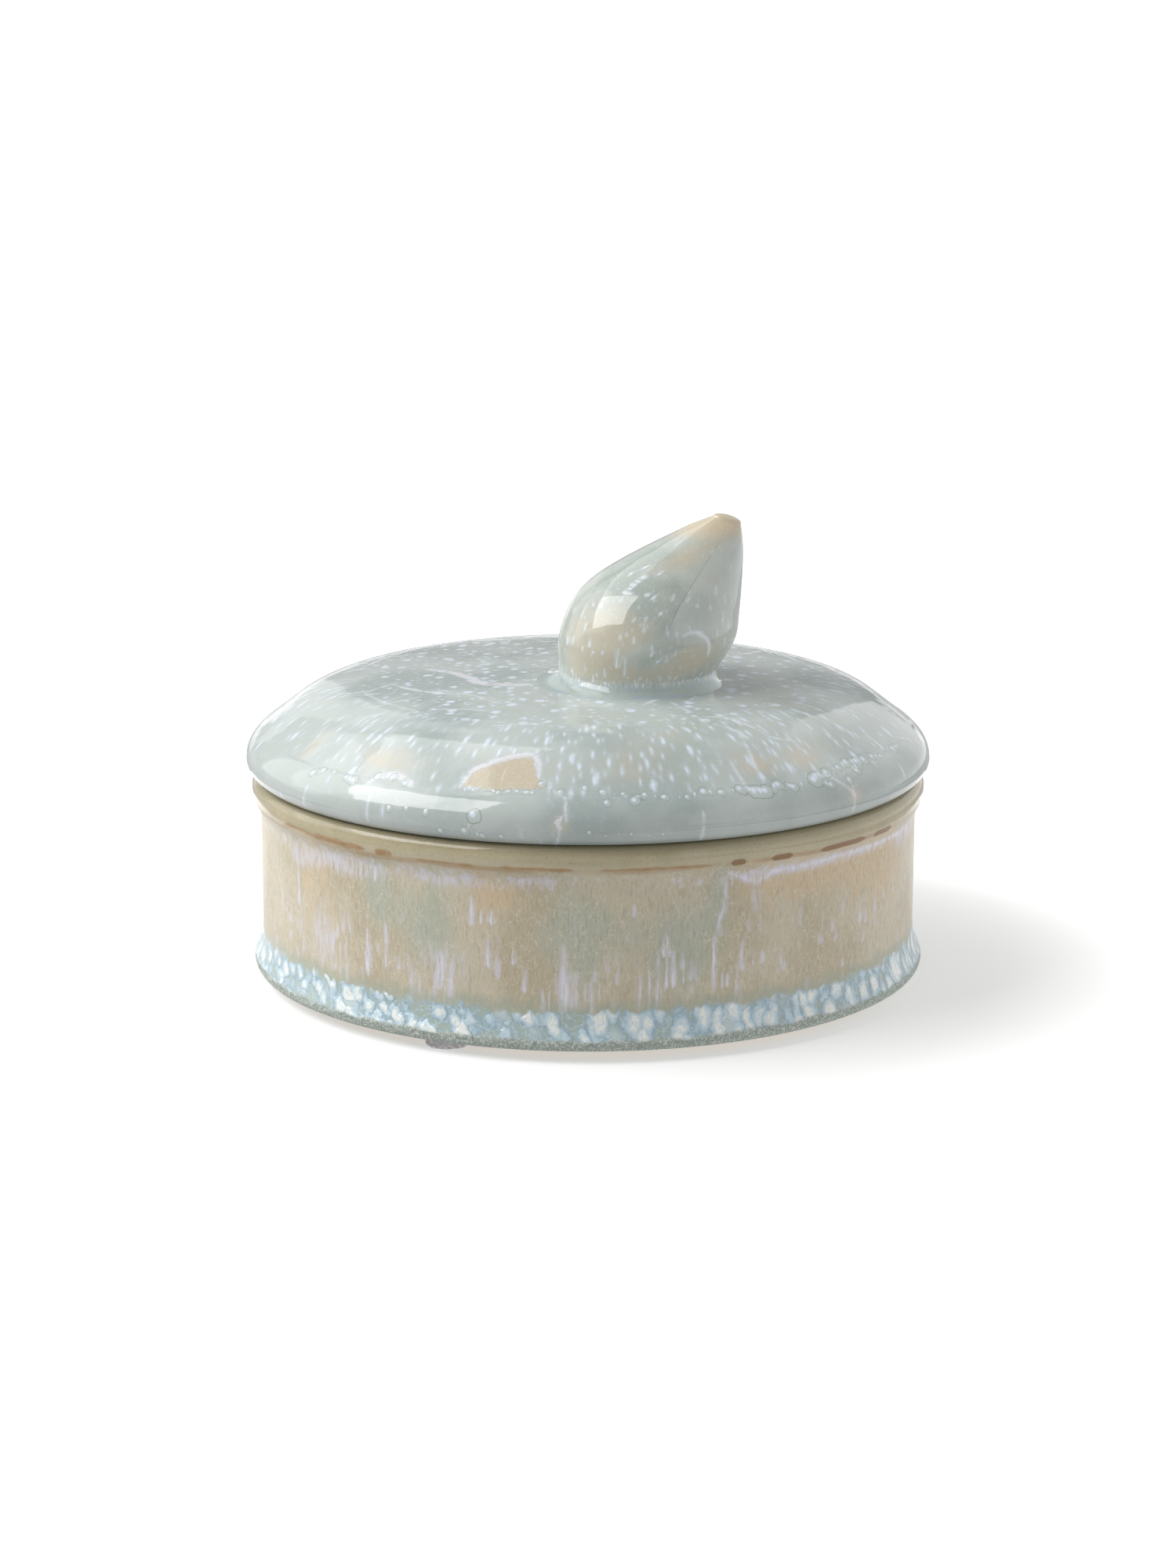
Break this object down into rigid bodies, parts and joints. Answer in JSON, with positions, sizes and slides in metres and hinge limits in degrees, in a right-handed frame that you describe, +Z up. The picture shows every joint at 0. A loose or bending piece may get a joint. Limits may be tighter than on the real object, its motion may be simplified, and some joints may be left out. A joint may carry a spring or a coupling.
{
  "type": "lidded stoneware box",
  "caption": "Low round stoneware box with a flared foot and beaded lip, a domed lid with a locating flange, a leaning bud-shaped knob, and felt pads under the foot.",
  "frame": {"origin": "on the table, on the pot's axis, under the middle of the assembly's box", "axes": "+Z up along the pot's axis; the front looks towards -Y; the knob stands off the middle, to the front right, and leans towards +X"},
  "size_m": [0.16, 0.16, 0.1098],
  "materials": {
    "pot_glaze": "satin reactive glaze, sand beige with grey-green runs",
    "lid_glaze": "glossy reactive glaze, pale grey-green with white flecks",
    "knob_glaze": "glossy reactive glaze, grey-green and beige",
    "felt": "pale needle felt"
  },
  "bodies": {
    "pot": {"pot_body": "pot_glaze", "felt_pad_1": "felt", "felt_pad_2": "felt", "felt_pad_3": "felt"},
    "cover": {"lid": "lid_glaze", "knob": "knob_glaze"}
  },
  "joints": [
    {"name": "lid_lift", "type": "slide", "parent": "pot", "child": "cover", "axis": [0, 0, 1], "range_m": [0, 0.08]}
  ]
}
